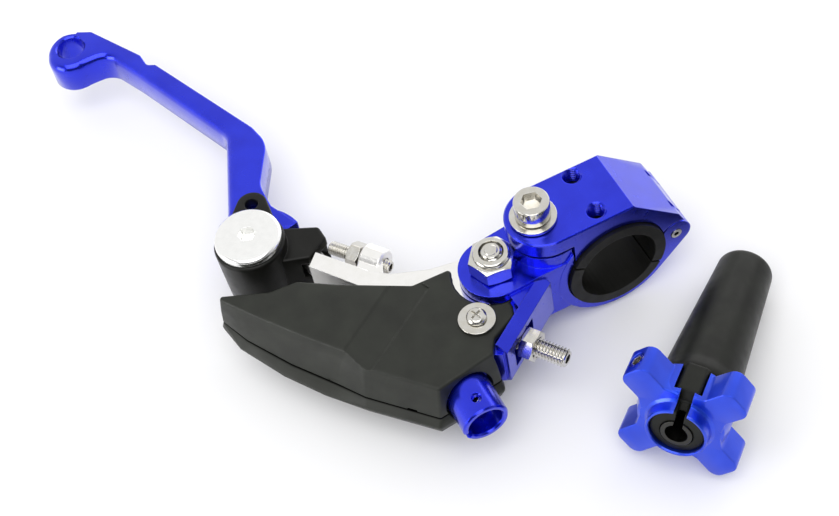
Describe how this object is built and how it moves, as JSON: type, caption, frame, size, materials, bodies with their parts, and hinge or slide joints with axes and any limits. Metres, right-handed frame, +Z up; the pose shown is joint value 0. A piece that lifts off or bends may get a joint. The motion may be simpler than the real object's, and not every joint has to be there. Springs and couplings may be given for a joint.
{
  "type": "folding clutch lever",
  "caption": "Folding, adjustable clutch lever on a hinged handlebar clamp, with a dust cover and a loose cable adjuster wheel and boot.",
  "frame": {"origin": "on the axis of the handlebar bore, near the clamp's middle", "axes": "+X along the handlebar towards its middle, +Y to the rider, +Z up along the lever's pivot"},
  "size_m": [0.2204, 0.1466, 0.0442],
  "materials": {
    "blue_anodised": "glossy blue anodised",
    "cover_black": "satin black moulding",
    "knuckle_black": "satin black anodised",
    "polished_alloy": "polished top, bead-blasted sides",
    "silver_cap": "turned silver anodised",
    "steel": "bright zinc plated",
    "bronze": "plain bearing bronze",
    "liner_black": "matt black",
    "boot_rubber": "matt rubber"
  },
  "bodies": {
    "perch": {"perch_body": "blue_anodised", "clamp_cap": "blue_anodised", "liner_upper": "liner_black", "liner_lower": "liner_black", "hinge_pin": "steel", "clamp_bolt": "steel", "clamp_washer": "steel", "pivot_bolt": "steel", "pivot_nut": "steel", "nut_collar": "steel", "cover_upper": "cover_black", "cover_lower": "cover_black", "cover_screw_upper": "steel", "cover_screw_lower": "steel", "cover_washer_upper": "steel", "cover_washer_lower": "steel", "stop_nut": "steel"},
    "lever": {"lever_base": "polished_alloy", "pivot_bush": "bronze", "reach_nut": "steel", "reach_pin": "steel"},
    "stop": {"stop_screw": "steel"},
    "seat": {"cable_seat": "silver_cap"},
    "barrel": {"adjuster_barrel": "blue_anodised"},
    "reach": {"reach_screw": "steel"},
    "knuckle": {"knuckle": "knuckle_black", "fold_bolt": "silver_cap", "fold_nut": "steel", "fold_bush": "bronze", "fold_spring": "steel"},
    "blade": {"lever_blade": "blue_anodised"},
    "wheel_unit": {"star_wheel": "blue_anodised", "wheel_set_screw": "steel", "detent_ball": "steel", "detent_spring": "steel", "rubber_boot": "boot_rubber", "boot_sleeve": "steel"}
  },
  "joints": [
    {"name": "lever_pull", "type": "hinge", "parent": "perch", "child": "lever", "pos_m": [0.001, -0.031, 0], "axis": [0, 0, -1], "range_deg": [0, 22]},
    {"name": "stop_adjust", "type": "slide", "parent": "perch", "child": "stop", "axis": [0.8211, 0.5708, 0], "range_m": [0, 0.005]},
    {"name": "seat_travel", "type": "slide", "parent": "perch", "child": "seat", "axis": [1, 0, 0], "range_m": [0, 0.005]},
    {"name": "barrel_spin", "type": "hinge", "parent": "seat", "child": "barrel", "pos_m": [0.0246, -0.052, 0], "axis": [1, 0, 0], "range_deg": [0, 1800]},
    {"name": "reach_adjust", "type": "hinge", "parent": "lever", "child": "knuckle", "pos_m": [-0.0344, -0.0704, 0], "axis": [0, 0, -1], "range_deg": [0, 6]},
    {"name": "reach_travel", "type": "slide", "parent": "lever", "child": "reach", "axis": [0.7926, 0.6097, 0], "range_m": [0, 0.0006]},
    {"name": "blade_fold", "type": "hinge", "parent": "knuckle", "child": "blade", "pos_m": [-0.0406, -0.0836, 0], "axis": [0, 0, 1], "range_deg": [0, 60], "stiffness_Nm_per_rad": 0.05, "springref_deg": -17.19},
    {"name": "wheel_slide", "type": "slide", "parent": "perch", "child": "wheel_unit", "axis": [0.7413, 0.6712, 0], "range_m": [0, 0.03]}
  ],
  "couplings": [
    {"joint": "barrel_spin", "follows": "seat_travel", "rad_per_m": 6283.2},
    {"joint": "reach_travel", "follows": "reach_adjust", "m_per_rad": 0.0052}
  ]
}
